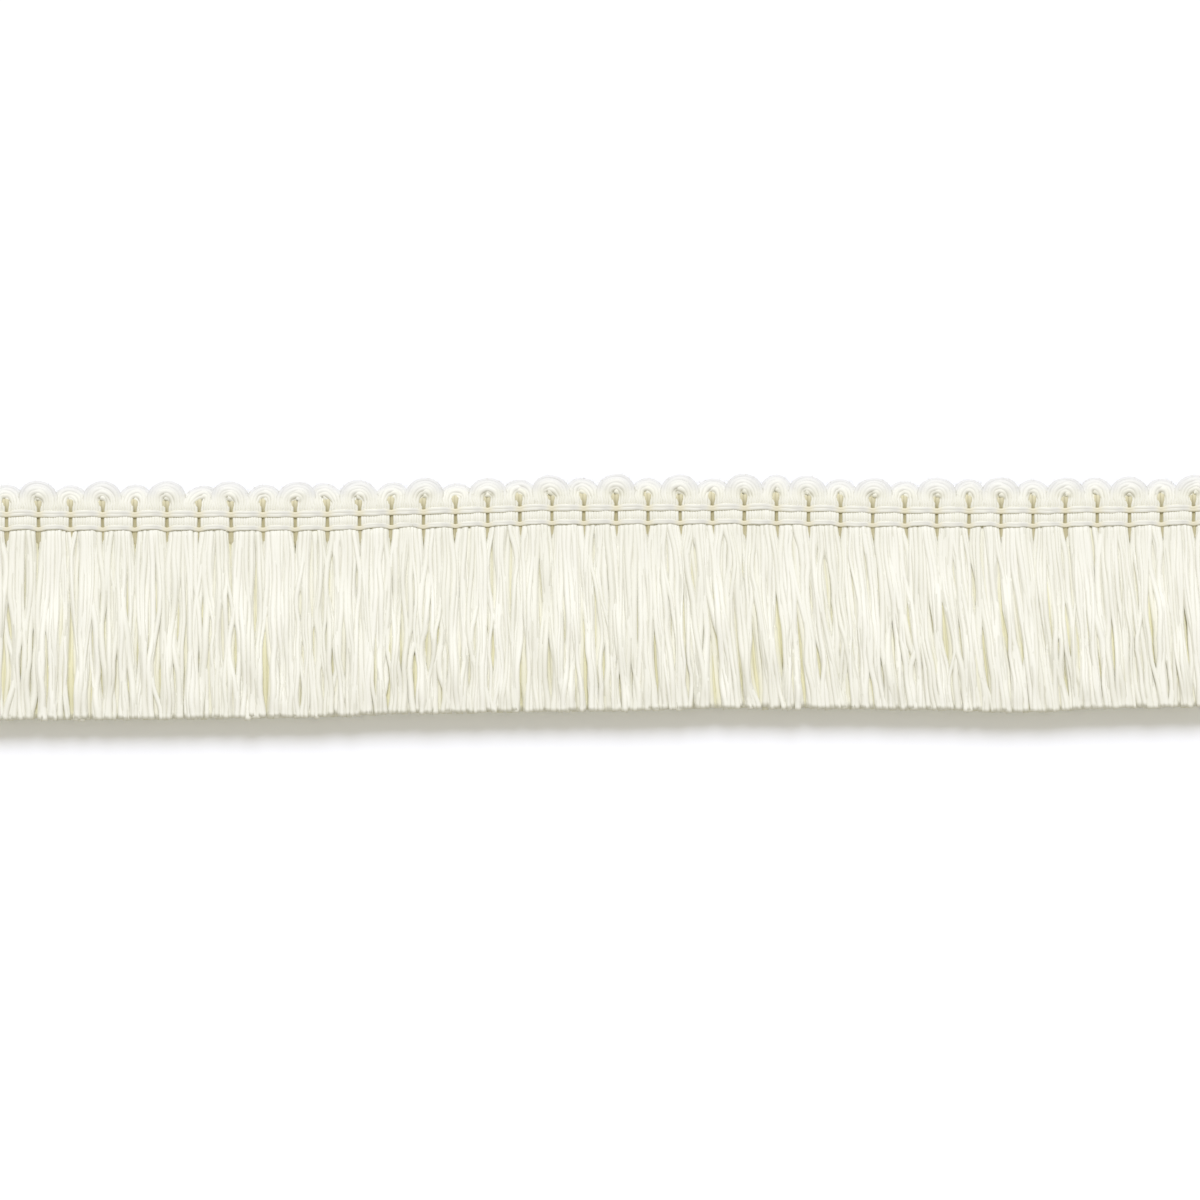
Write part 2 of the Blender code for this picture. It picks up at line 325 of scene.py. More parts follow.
def arch_leg(slit, a, rows, side, arch, uneven, z_rib):
    """x, y, z from the arch's foot to its crown: cos(angle) of the half width outwards and
    sin(angle)^SHOULDER of the rise upwards, with the yarn's place in the rope added. Inner
    yarns lie MOVES_LEFT further left and sink by about BOWL, most of all in the left leg.
    The outermost fall by BACK_FALLS."""
    half_width, rope, z_middle, crown = arch[1:]
    high, lean = uneven[:, :1], uneven[:, 1:]
    out = (rope - WIDE * ARCH_SPREAD) * a[:, None]
    angle = ARCH_STEPS[None, :]
    turned = smooth(angle / TURNED_AT)
    tight = 1 - (1 - rows[:, 2:3]) * turned
    rise = (crown - rope - ARCH_BASE + high) * tight
    inward = (1 - a[:, None]) / 2
    loose = ARCH_WANDER + INNER_WANDER * inward
    loose = loose * wander(len(a), angle / 3, (0.8, 1.4, 2.3))
    up_share = np.sin(angle) ** SHOULDER
    x = slit[:, None] + side * (half_width * tight + out + loose) * np.cos(angle)
    x = x + (lean + STRAND_LEANS * chance.normal(0, 1, (len(a), 1))) * up_share
    x = x - MOVES_LEFT * inward * turned
    y = ARCH_BASE + (rise + out + loose) * up_share
    bowl = BOWL * (1 - BOWL_TO_THE_LEFT * side)
    sunk = bowl * inward**4 + BACK_FALLS * (1 - inward) ** 2
    sunk = sunk + STRAND_SINKS * chance.normal(0, 1, (len(a), 1))
    z = z_rib + (z_middle + rows[:, 3:4] - sunk - z_rib) * turned
    return x, y, z


def leg(slit, a, rows, side, arch, uneven, with_arch=True):
    """The leg's stations in order from the lower thread to the crown."""
    parts = [rib_leg(slit, a, rows, side, arch)]
    if with_arch:
        parts.append(arch_leg(slit, a, rows, side, arch, uneven, parts[0][2][:, -1:]))
    x, y, z = (np.concatenate(axis, axis=1) for axis in zip(*parts))
    return np.stack((x, y + outline(x, "rise") + HEADING_LINE, z), -1)


# %% [markdown]
# ## All the loops of the heading
#
# High and low arches take turns along the edge, so the heading is two pieces: the bundles
# of the high arches and those of the low ones. No two arches are quite the same: each is a
# little higher or lower and leans a little to one side. At the trim's two ends a bundle has
# been cut through, so its yarns stop at the top of the heading.


# %% Loops
UNEVEN_ARCHES = (0.16, 0.24)
CUT_LIGHTER = 0.3


def heading_painted_shade(paths, rows, a):
    """How much painted shade a point gets, from 0 at the face to 1, by how deep it lies: by
    how much it is lower than the rib's face, and a third of that in the arches, which are
    open to the light. There the inner strands get a little more painted shade, by the square
    of their place."""
    low = np.clip((RIB_HEIGHT - 0.35 - paths[..., 2]) / 0.9, 0, 1) * (rows[:, :1] < 1)
    in_arch = smooth((paths[..., 1] - HEADING_LINE - 4.2) / 0.8)
    inner = 0.25 * ((1 - a[:, None]) / 2) ** 2
    return low * (1 - 0.68 * in_arch) + inner * in_arch


def yarn_loops(name, slits, arch):
    """A piece with every yarn of the arches over these slits."""
    a, rows = bundle_grid(arch[0])
    count = len(a)
    a, rows = np.tile(a, len(slits)), np.tile(rows, (len(slits), 1))
    slit = np.repeat(slit_x(slits), count)
    uneven = np.repeat(chance.normal(0, UNEVEN_ARCHES, (len(slits), 2)), count, axis=0)
    left = leg(slit, a, rows, -1, arch, uneven)
    right = leg(slit, a, rows, 1, arch, uneven)
    crown = (left[:, -1:] + right[:, -1:]) / 2
    paths = np.concatenate((left[:, :-1], crown, right[:, -2::-1]), axis=1)
    above_line = paths[..., 1] - HEADING_LINE - outline(paths[..., 0], "rise")
    in_arch = smooth((above_line - 4.2) / 1.2)
    wide = WIDE * chance.uniform(0.94, 1.08, (len(a), 1)) * (1 + (ARCH_SPREAD - 1) * in_arch)
    thick = THICK * chance.uniform(0.94, 1.06, (len(a), 1)) * (1 - 0.4 * in_arch)
    # Painted grey shade on the arches' outer edge, most at the crown and on the outermost
    # strands, to hold down the side that faces the light.
    painted_grey = smooth((above_line - 5.0) / 1.6) * (0.35 + 0.65 * ((1 + a[:, None]) / 2) ** 2)
    shades = chance.uniform(0, 1, len(a))
    depth = heading_painted_shade(paths, rows, a)
    outer = paths[(a == 1) & (rows[:, 0] == 1)]
    return add_tubes(name, paths, wide, thick, 6, shades, depth, painted_grey), outer


high_loops, high_outer = yarn_loops("high_loops", range(2, RIBS, 2), HIGH_ARCH)
low_loops, low_outer = yarn_loops("low_loops", range(1, RIBS, 2), LOW_ARCH)

# %% [markdown]
# Where the trim is cut off, half a rib is left with no arch. A cut bundle is therefore one
# leg alone, made by the same function, and its side is open to the light.


# %% The cut bundles at both ends
def cut_bundle(index, side, arch):
    """The paths and painted shade of one bundle that ends at the top of the heading. It is
    open to the light at its side, so its painted shade is CUT_LIGHTER of the others'."""
    a, rows = bundle_grid(arch[0])
    slit = np.full(len(a), float(slit_x(index)))
    paths = leg(slit, a, rows, side, arch, None, with_arch=False)
    return paths, CUT_LIGHTER * heading_painted_shade(paths, rows, a)


first_cut, first_painted_shade = cut_bundle(0, 1, HIGH_ARCH)
last_cut, last_painted_shade = cut_bundle(RIBS, -1, LOW_ARCH)
cut_paths = np.concatenate((first_cut, last_cut))
cut_painted_shade = np.concatenate((first_painted_shade, last_painted_shade))
cut_shades = chance.uniform(0, 1, len(cut_paths))
end_bundles = add_tubes("end_bundles", cut_paths, WIDE, THICK, 6, cut_shades, cut_painted_shade)

# %% [markdown]
# ## The yarn behind the slits
#
# Through a slit one sees the yarn of the back. It lies just below the face and is painted
# all over in a darker golden tone, a painted shade, so that the slit is a shaded golden
# groove and not a black gap. It starts under the skirt's roots and ends in the bowl of the
# arch, and there it lies higher than between the threads.

# %% Two flat strands behind each slit
GROOVE_STEPS = np.linspace(-3.0, 5.9, 18)
GROOVE_HEIGHT = 1.92
RISES_ABOVE = 0.35
RISES_BELOW = 0.13
ENDS_SINK = (0.7, 0.6)
GROOVE_APART = 0.16
APART_ABOVE = 0.12
GROOVE_WIDE = 0.40
GROOVE_THICK = 0.18


def slit_yarns(name):
    """Two overlapping flat strands behind each slit. Between the threads they are at
    GROOVE_HEIGHT and their painted shade is deepest. Above the upper thread they rise, spread
    and move to the left, and below the lower one they rise again. Both their ends sink, under
    the arch and into the skirt's bed, where their painted shade also grows lighter."""
    slits = np.repeat(slit_x(np.arange(1, RIBS)), 2)[:, None]
    side = np.tile((-1, 1), RIBS - 1)[:, None]
    y = GROOVE_STEPS[None, :]
    above, below = smooth((y - 3.0) / 1.4), smooth((0.6 - y) / 0.8)
    x = slits + (GROOVE_APART + APART_ABOVE * above) * side - MOVES_LEFT * above
    x = x + 0.06 * wander(len(slits), y / 7, (0.7, 1.6))
    z = GROOVE_HEIGHT + RISES_ABOVE * above + RISES_BELOW * below
    z = z - ENDS_SINK[0] * smooth((y - 5.1) / 0.8) - ENDS_SINK[1] * smooth((-1.5 - y) / 1.3)
    z = z + 0.04 * wander(len(slits), y / 7, (1.1, 2.3)) + 0.03 * side
    paths = np.stack((x, y + outline(x, "rise") + HEADING_LINE, z), -1)
    # Painted shade: darkest between the threads, lighter above and below them.
    deep = 1 - 0.85 * above - 0.2 * below - 0.6 * smooth((-0.6 - y) / 1.6) + 0 * x
    shades = chance.uniform(0, 1, len(slits))
    return add_tubes(name, paths, GROOVE_WIDE, GROOVE_THICK, 6, shades, deep)


groove_yarns = slit_yarns("groove_yarns")

# %% [markdown]
# ## The skirt
#
# Below the heading the same yarns hang free. From above one sees only the upper layers.
# Where their strands move aside, the next ones lie right below, and under them all lies a
# closed bed of broad flat strands. The layers below the bed fill the inside and are seen at
# the cut ends.
#
# The strands lean a little, they gather into tufts near their tips, and in some places they
# part and show the bed below, which its depth paints a darker, warmer tone as shade. The
# large partings are a table: where each one is, how far down the skirt its middle lies, and
# how long and wide it opens. Its rows come from two other programs: one listed the dark
# streaks in a photograph of such a trim, some of them were picked out, and the other turned
# those into millimetres. Many small partings are added at random. The face isn't flat
# either: it swells and sinks a little, so some tufts turn to the light and others away from
# it.

# %% Layers, tufts and partings
# Columns: share, in_rib, wide, thick, shorter, gather, tuft, loose, opens
INNER_LAYERS = (
    (0.00, 6, 0.50, 0.38, 0.20, 0.08, 4.1, 0.4, 0.0),
    (0.21, 6, 0.50, 0.40, 0.10, 0.08, 3.9, 0.4, 0.0),
    (0.43, 6, 0.50, 0.40, 0.25, 0.08, 3.7, 0.4, 0.0),
    (0.65, 6, 0.50, 0.40, 0.15, 0.08, 3.5, 0.4, 0.0),
)
MIDDLE_LAYERS = (
    (0.88, 8, 0.54, 0.24, 0.10, 0.10, 3.3, 0.2, 0.0),
    (0.925, 7, 0.48, 0.20, 0.08, 0.25, 2.9, 0.8, 0.6),
    (0.96, 7, 0.48, 0.18, 0.03, 0.35, 3.4, 0.9, 0.9),
)
UPPER_LAYERS = (
    (0.985, 6, 0.52, 0.15, -0.02, 0.45, 3.1, 1.0, 1.0),
    (1.00, 5, 0.44, 0.13, -0.02, 0.45, 2.7, 1.1, 0.7),
)
# Columns: x, down, length, width
PARTINGS = np.array(
    [
        (-98.0, 23.7, 9.9, 0.4),
        (-97.2, 15.9, 7.4, 0.5),
        (-93.9, 25.0, 7.4, 0.3),
        (-87.3, 17.9, 21.4, 0.5),
        (-82.2, 18.3, 20.6, 0.5),
        (-78.0, 10.9, 9.1, 0.4),
        (-76.2, 21.6, 9.1, 0.3),
        (-73.1, 11.3, 8.2, 0.3),
        (-69.5, 15.9, 9.1, 0.3),
        (-66.2, 20.8, 15.7, 0.5),
        (-60.2, 19.8, 5.4, 0.3),
        (-56.8, 8.0, 14.9, 0.4),
        (-54.9, 21.6, 10.7, 0.5),
        (-49.3, 25.8, 5.8, 0.3),
        (-44.9, 8.6, 7.4, 0.4),
        (-44.7, 18.5, 12.4, 0.3),
        (-40.1, 8.8, 6.1, 0.4),
        (-32.8, 18.7, 12.4, 0.5),
        (-30.5, 24.6, 9.1, 0.5),
        (-28.1, 14.3, 14.9, 0.5),
        (-22.9, 22.3, 9.1, 0.3),
        (-18.0, 7.6, 10.7, 0.3),
        (-17.8, 22.0, 11.6, 0.5),
        (-14.9, 9.7, 13.2, 0.4),
        (-9.7, 9.8, 13.2, 0.3),
        (-8.2, 22.7, 12.4, 0.3),
        (-5.8, 19.0, 13.2, 0.3),
        (-2.5, 21.0, 17.3, 0.4),
        (-0.7, 14.9, 13.2, 0.3),
        (3.3, 26.0, 7.4, 0.3),
        (9.2, 23.5, 12.4, 0.5),
        (17.0, 18.2, 8.2, 0.5),
        (25.6, 23.1, 11.6, 0.4),
        (30.2, 19.7, 5.0, 0.3),
        (39.6, 14.6, 5.0, 0.3),
        (51.0, 16.5, 9.1, 0.3),
        (51.8, 23.3, 4.5, 0.4),
        (54.8, 17.7, 21.4, 0.3),
        (57.3, 19.5, 5.3, 0.4),
        (61.7, 9.6, 5.3, 0.3),
        (63.4, 22.7, 11.6, 0.4),
        (84.5, 20.3, 16.5, 0.4),
        (91.2, 11.8, 9.1, 0.3),
    ]
)
SMALL_PARTINGS = chance.uniform((-104, 3, 4, 0.0), (104, 29, 13, 0.25), (170, 4))


def partings(x, down, wide, table):
    """Pushes strands away from each parting, to the side on which they pass its middle. A
    strand that passes it at d moves by p * exp(-d / 1.2 p) * exp(-e⁴), where p is the
    strand's half width plus the parting's, and e the distance along it."""
    push = 0.0
    for middle, depth, length, width in table:
        e = (down - depth) / (0.6 * length)
        passing = np.abs(e).argmin(axis=1)[:, None]
        d = np.take_along_axis(x, passing, axis=1) - middle
        most = wide + width / 2
        push = push + most * np.sign(d) * np.exp(-np.abs(d) / (1.2 * most)) * np.exp(-(e**4))
    return push


def tuft_pull(x, apart):
    """How far each strand lies from the middle of its tuft. The middles are about as far
    apart as the layer says, each moved at random by up to a third of that."""
    span = PITCH * RIBS / 2 + apart
    middles = np.arange(-span, span, apart)
    middles = middles + chance.uniform(-apart / 3, apart / 3, len(middles))
    nearest = np.abs(x - middles).argmin(axis=-1)
    return middles[nearest][:, None] - x


SWELLS = ((5.2, 21.0), (-7.9, 16.0), (3.4, -24.0), (12.0, 15.0), (-17.0, 27.0), (6.1, -14.0))
SWELL_PHASES = chance.uniform(0, 2 * np.pi, len(SWELLS))
SWELL = 0.13


def face_wave(x, down):
    """How far the skirt's face rises and sinks: SWELL times a sum of slanting waves, each
    cos(2π x / across + 2π down / along + its phase)."""
    turns = [x / across + down / along for across, along in SWELLS]
    return SWELL * sum(np.cos(2 * np.pi * t + p) for t, p in zip(turns, SWELL_PHASES))


def tuft_tone_and_sheen(x):
    """Shades for strands at x: half a slow wave along the trim and half random, so that
    neighbours look alike. The random half is the yarn's own tone; the slow wave paints light
    and dark patches of sheen on the tufts."""
    slow = face_wave(x, 0.0) / SWELL
    return np.clip(0.5 + 0.16 * slow + 0.2 * chance.normal(0, 1, len(x)), 0, 1)


test_x = np.linspace(-99, 99, 2000)[:, None]
test_push = partings(test_x, 20 + 0 * test_x, 0.4, PARTINGS)
print("widest push in mm:", np.abs(test_push).max().round(2))

# %% [markdown]
# A strand starts under the lower thread, inside its rib. Within a few millimetres the ribs'
# strands spread and close over the slit; the lower layers do so at once. Near its tip a
# strand sinks a little. The upper layers reach a bit further than the lower ones.

# %% The strands of the skirt
SKIRT_STEPS = np.array(
    [0, 0.035, 0.08, 0.13, 0.19, 0.27, 0.36, 0.46, 0.56, 0.66, 0.76, 0.85, 0.92, 0.97, 1]
)
FINE_STEPS = np.interp(np.linspace(0, 14, 22), np.arange(15), SKIRT_STEPS)
SKIRT_TOP = 0.75
SKIRT_REST = SKIRT_TOP + 0.38
TIP_SINKS = 0.14
BED_SHARE = 0.85
TOP_SHARE = 0.95
OPENS_OVER = (0.11, 0.25)
LENGTH_VARIES = 0.15
LEAN_POWER = 1.3
SLOPE = 0.5
SLOW_WAVE = 0.5
QUICK_WAVE = 0.15


def strand_roots(layer):
    """Each strand's place in its rib, from -1 to 1, the x of its root between the slits and
    the x at which it hangs once the strands have spread over the whole pitch."""
    share, in_rib, wide, loose = layer[0], layer[1], layer[2], layer[7]
    count = RIBS * in_rib
    place = (np.arange(count) % in_rib + 0.5) / in_rib * 2 - 1
    place = (place + 0.6 * loose * chance.uniform(-1, 1, count) / in_rib)[:, None]
    rib_middle = slit_x(np.arange(count) // in_rib + 0.5)[:, None]
    slit_share = smooth((share - BED_SHARE) / 0.04)
    root = rib_middle + place * (PITCH - (0.6 * SLIT + 0.95 * wide) * slit_share) / 2
    return place, root, rib_middle + place * PITCH / 2


def strand_course(layer, t, root, free):
    """How far sideways and how far down each station is. Sideways it is the root, spread to
    the free place, plus lean * t^LEAN_POWER, the strand's own slope and waves, the pull of
    its tuft and the push of the partings."""
    share, _, wide, _, shorter, gather, tuft, loose, opens = layer
    count = len(root)
    opening = chance.uniform(*OPENS_OVER, (count, 1))
    length = outline(root, "skirt") + SKIRT_REST - shorter
    length = length + chance.normal(0, LENGTH_VARIES, (count, 1))
    down = t * length
    x = root + (free - root) * smooth((t - 0.02) / opening)
    x = x + outline(root, "lean") * t**LEAN_POWER
    x = x + SLOPE * loose * chance.normal(0, 1, (count, 1)) * t**LEAN_POWER
    x = x + SLOW_WAVE * loose * wander(count, t, (0.6, 1.2, 2.1)) * smooth(t / 0.3)
    x = x + gather * tuft_pull(free, tuft) * smooth((t - 0.25) / 0.75)
    x = x + QUICK_WAVE * loose * wander(count, t, (3.1, 4.3)) * smooth((t - 0.2) / 0.6)
    if share > BED_SHARE:
        x = x + opens * partings(x, down - SKIRT_TOP, wide, PARTINGS)
    if share > TOP_SHARE:
        x = x + partings(x, down - SKIRT_TOP, wide, SMALL_PARTINGS)
    return x, down


# %% [markdown]
# The skirt is as thick as the heading where it starts and grows thicker as the cut yarns
# fluff out. Each layer has its share of that thickness. So the layers never have to be
# stacked one on the other, and they follow the swelling face together.

# %% How high the strands lie
RIB_TOP = 0.97
ROOT_ROUNDING = 0.11
HEIGHT_WAVE = 0.09
INNER_SHARE = 0.8
ROOT_SINKS = 0.15


def strand_heights(layer, t, x, down, place):
    """The height of each station, which is the layer's share of the skirt's own height, and
    the skirt's own height there. That grows from the rib's to SKIRT_HEIGHT. The roots start
    ROOT_SINKS lower, under the heading, and the tips sink by TIP_SINKS."""
    share, thick, loose = layer[0], layer[3], layer[7]
    rib = RIB_HEIGHT * RIB_TOP * (1 - ROOT_ROUNDING * np.abs(place) ** 3)
    height = rib + (SKIRT_HEIGHT - rib) * smooth(t / 0.8)
    height = height + face_wave(x, down) * smooth(t / 0.5) * (1 - smooth((t - 0.85) / 0.15))
    layer_share = share
    if share > INNER_SHARE:
        layer_share = 1 - (1 - share) * (1.15 - 0.15 * smooth(t / 0.2))
    z = thick + layer_share * (height - 2 * thick)
    z = z + HEIGHT_WAVE * loose * wander(len(x), t, (0.7, 1.6, 2.3)) * smooth(t / 0.15)
    z = z - TIP_SINKS * share * smooth((t - 0.9) / 0.1)
    under = ROOT_SINKS * share + thick
    return z - under * (1 - smooth(t / 0.03)) * (share > 0), height


# %% [markdown]
# Deep yarn looks golden, and near the heading the yarn in a slit does so too. Both are
# worked out here from the heights, as a number that the finish paints in as shade.

# %% How deep the strands lie
GOLDEN_SINKS = 0.35
GOLDEN_REACH = 0.45
DEEP_FROM = 0.35
DEEP_OVER = 0.33


def slit_painted_shade(layer, t, x):
    """How much a station of the lower layers lies in a slit: exp(-d²), with d the distance
    from the nearest slit over GOLDEN_REACH. It fades out below the heading. The strands sink
    by it and add it to their painted shade."""
    share = layer[0]
    from_slit = (x - np.round((x - slit_x(0)) / PITCH) * PITCH - slit_x(0)) / GOLDEN_REACH
    return np.exp(-from_slit * from_slit) * (1 - smooth((t - 0.08) / 0.08)) * (share < 0.9)


def strand_painted_shade(t, x, z, height, in_slit_shade):
    """How much painted shade each station gets, from 0 to 1: how deep it lies under the
    skirt's face, plus how much it lies in a slit. The cut tips and the two ends of the trim
    are open to the light, so the painted shade fades there."""
    face = height - TIP_SINKS * smooth((t - 0.9) / 0.1)
    depth = np.clip((face - DEEP_FROM - z) / DEEP_OVER + in_slit_shade, 0, 1)
    depth = depth * (1 - 0.8 * smooth((t - 0.96) / 0.03))
    return depth * (0.25 + 0.75 * smooth((slit_x(RIBS) - 0.5 - np.abs(x)) / 2))


# %% [markdown]
# Now the parts come together: a layer takes its strands' places, course, height and depth,
# and a piece is made of several layers. The upper layers are the ones that are seen, so
# they have more stations than the others.

# %% Layers and pieces of the skirt
TIP_SWELLS = 0.12
WIDTH_VARIES = 0.28


def layer_of_strands(layer, steps):
    """Paths, radii and depths of one layer. No strand goes below the floor."""
    wide, thick, loose = layer[2], layer[3], layer[7]
    t = steps[None, :]
    place, root, free = strand_roots(layer)
    x, down = strand_course(layer, t, root, free)
    z, height = strand_heights(layer, t, x, down, place)
    # How much the station lies in a slit: it sinks the station and adds painted shade.
    in_slit_shade = slit_painted_shade(layer, t, x)
    z = np.maximum(z - GOLDEN_SINKS * in_slit_shade, 1.1 * thick)
    y = SKIRT_TOP - down + outline(x, "rise") + HEADING_LINE
    depth = strand_painted_shade(t, x, z, height, in_slit_shade)
    swell = 1 + TIP_SWELLS * smooth((t - 0.8) / 0.2)
    uneven_width = 1 + WIDTH_VARIES * loose * chance.uniform(-1, 1, (len(root), 1))
    wide = wide * swell * uneven_width
    thick = thick * chance.uniform(0.9, 1.1, (len(root), 1)) + 0 * t
    return np.stack((x, y, z), -1), wide, thick, depth


def skirt_piece(name, layers, steps=SKIRT_STEPS):
    """One piece of the strands of several layers."""
    parts = [layer_of_strands(layer, steps) for layer in layers]
    paths, wide, thick, depth = (np.concatenate(values) for values in zip(*parts))
    return add_tubes(name, paths, wide, thick, 6, tuft_tone_and_sheen(paths[:, 8, 0]), depth)


inner_strands = skirt_piece("inner_strands", INNER_LAYERS)
middle_strands = skirt_piece("middle_strands", MIDDLE_LAYERS)
upper_strands = skirt_piece("upper_strands", UPPER_LAYERS, FINE_STEPS)

# %% [markdown]
# ## The threads across the ribs
#
# Two rows of thread hold the bundles. Each is a pair of soft strands side by side. A thread
# lies on the ribs and dips into the slits between them, where its strands draw together. On
# the left of each slit it is pulled tight and sinks deepest into the yarn. There it is
# painted grey as shade, and in the slits a darker, warmer shade.

# %% Threads
THREAD_STEPS = 16
THREAD_LIES = 0.08
THREAD_DIPS = 0.26
TIGHT_DIPS = 0.10
THREAD_FLAT = 0.26
UNEVEN_THREAD = (0.07, 0.04)
# Columns: name, height, apart, radius, sags
UPPER = ("upper_thread", UPPER_THREAD, 0.25, 0.33, 0.20)
LOWER = ("lower_thread", LOWER_THREAD, 0.15, 0.28, 0.32)


def thread(name, height, apart, radius, sags):
    """A piece of two strands. The middle line dips at each slit by w, where w is cos² to
    the fourth power, and once more, by exp(-d²), on the left of it. Between the slits it
    moves up and down by a random amount for each rib. Both dips are painted as shade: a
    darker, warmer tone in the slit and grey where the thread is tight."""
    x = np.linspace(slit_x(0) - 0.2, slit_x(RIBS) + 0.2, RIBS * THREAD_STEPS + 1)
    share = (x - slit_x(0)) / PITCH
    at_slit = np.cos(np.pi * share) ** 8
    before = (share - np.round(share) + 0.30) / 0.15
    tight = np.exp(-before * before)
    rib = np.clip(share.astype(int), 0, RIBS - 1)
    on_rib = np.sin(np.pi * (share - rib)) ** 2
    uneven = chance.normal(0, UNEVEN_THREAD, (RIBS, 2))[rib] * on_rib[:, None]
    z = RIB_HEIGHT * (1 - PRESSED_BY) + THREAD_LIES
    z = z - THREAD_DIPS * at_slit - TIGHT_DIPS * tight + uneven[:, 1]
    y = height - sags * at_slit + uneven[:, 0] + outline(x, "rise") + HEADING_LINE
    half = apart * (1 - 0.5 * at_slit) * (1 - 0.25 * tight)
    paths = np.array([np.stack((x, y + half * side, z), -1) for side in (-1, 1)])
    # Painted shade: a darker, warmer tone in the slits and grey where the thread is pulled
    # tight.
    in_slit_shade = 0.9 * at_slit + 0 * paths[..., 0]
    tight_painted_shade = 0.6 * tight + 0 * paths[..., 0]
    shades = np.array([0.4, 0.7])
    return add_tubes(name, paths, radius, THREAD_FLAT * radius, 8, shades, in_slit_shade, tight_painted_shade)


upper_thread = thread(*UPPER)
lower_thread = thread(*LOWER)

# %% [markdown]
# ## Stray fibres
#
# Soft yarn sheds a little fluff. Single fibres stand out round the arches and at the cut
# ends, too thin to be seen one by one from afar, but they make the edges soft.


# %% Fluff round the arches and at the cut ends
def stray_fibres(name, starts, onward, length, radius):
    """A piece of thin tubes. Each one leaves its start along onward and bends aside by a
    random amount times t²."""
    count = len(starts)
    t = np.linspace(0, 1, 6)[None, :, None]
    reach = length * chance.uniform(0.4, 1.0, (count, 1, 1))
    bend = chance.normal(0, 0.45, (count, 1, 3)) * reach
    paths = starts[:, None] + onward[:, None] * reach * t + bend * t * t
    paths[..., 2] = np.maximum(paths[..., 2], radius)
    thin = radius * (1.1 - 0.8 * t[..., 0]) + 0 * paths[..., 0]
    return add_tubes(name, paths, thin, thin, 4, chance.uniform(0, 1, count), 0 * paths[..., 0])


EDGE_FIBRES = 1600
TIP_FIBRES = 900
EDGE_FIBRE = (0.8, 0.013)
TIP_FIBRE = (1.2, 0.016)
outer = np.concatenate((high_outer, low_outer))[:, len(RIB_STEPS) + 1 : -len(RIB_STEPS) - 1]
yarn = chance.integers(0, len(outer), EDGE_FIBRES)
station = chance.integers(0, outer.shape[1] - 1, EDGE_FIBRES)
here, there = outer[yarn, station], outer[yarn, station + 1]
edge_start = here + (there - here) * chance.uniform(0, 1, (EDGE_FIBRES, 1))
along = unit(there - here)
outward = np.stack((-along[:, 1], along[:, 0], chance.normal(0, 0.35, EDGE_FIBRES)), -1)
edge_start = edge_start + 0.3 * outward
edge_fibres = stray_fibres("edge_fibres", edge_start, outward, *EDGE_FIBRE)

tip_x = chance.uniform(slit_x(0) + 1, slit_x(RIBS) - 1, TIP_FIBRES)
tip_y = 0.6 - outline(tip_x, "skirt") + outline(tip_x, "rise") + HEADING_LINE
tip_start = np.stack((tip_x, tip_y, chance.uniform(0.4, 3.7, TIP_FIBRES)), -1)
tip_onward = np.stack((chance.normal(0, 0.4, TIP_FIBRES), 0 * tip_x - 1, 0 * tip_x - 0.1), -1)
tip_fibres = stray_fibres("tip_fibres", tip_start, tip_onward, *TIP_FIBRE)

# %% [markdown]
# ## Finishes
#
# The yarn is a matt, slightly silky ivory. In the slits light bounces many times between
# yarns, and each bounce takes a little more blue away, so deep yarn looks golden. The
# finish paints that shade in with the depth that each piece keeps: it mixes the face's ivory
# with a darker, warmer tone. It paints a grey shade too, on the outer edges of the arches and
# where a thread is pulled tight. The yarn behind the slits has the painted shade all over.
# The colour also changes a little from yarn to yarn, and fine fibres run along each yarn as
# a low bump.


# %% Node helpers
def new_node(tree, kind, **values):
    """A node with some of its sockets set by name."""
    made = tree.nodes.new(kind)
    for name, value in values.items():
        made.inputs[name.replace("_", " ")].default_value = value
    return made


def kept_value(tree, name):
    """The socket of a value that the pieces keep at their points."""
    made = tree.nodes.new("ShaderNodeAttribute")
    made.attribute_name = name
    return made.outputs["Fac"]


def colour_mix(tree, share, first, second):
    """A colour mix whose factor comes from a socket. Its two ends are colours or sockets."""
    mix = tree.nodes.new("ShaderNodeMix")
    mix.data_type = "RGBA"
    tree.links.new(share, mix.inputs["Factor"])
    for socket, value in (("A", first), ("B", second)):
        if isinstance(value, tuple):
            mix.inputs[socket].default_value = value
        else:
            tree.links.new(value, mix.inputs[socket])
    return mix.outputs["Result"]


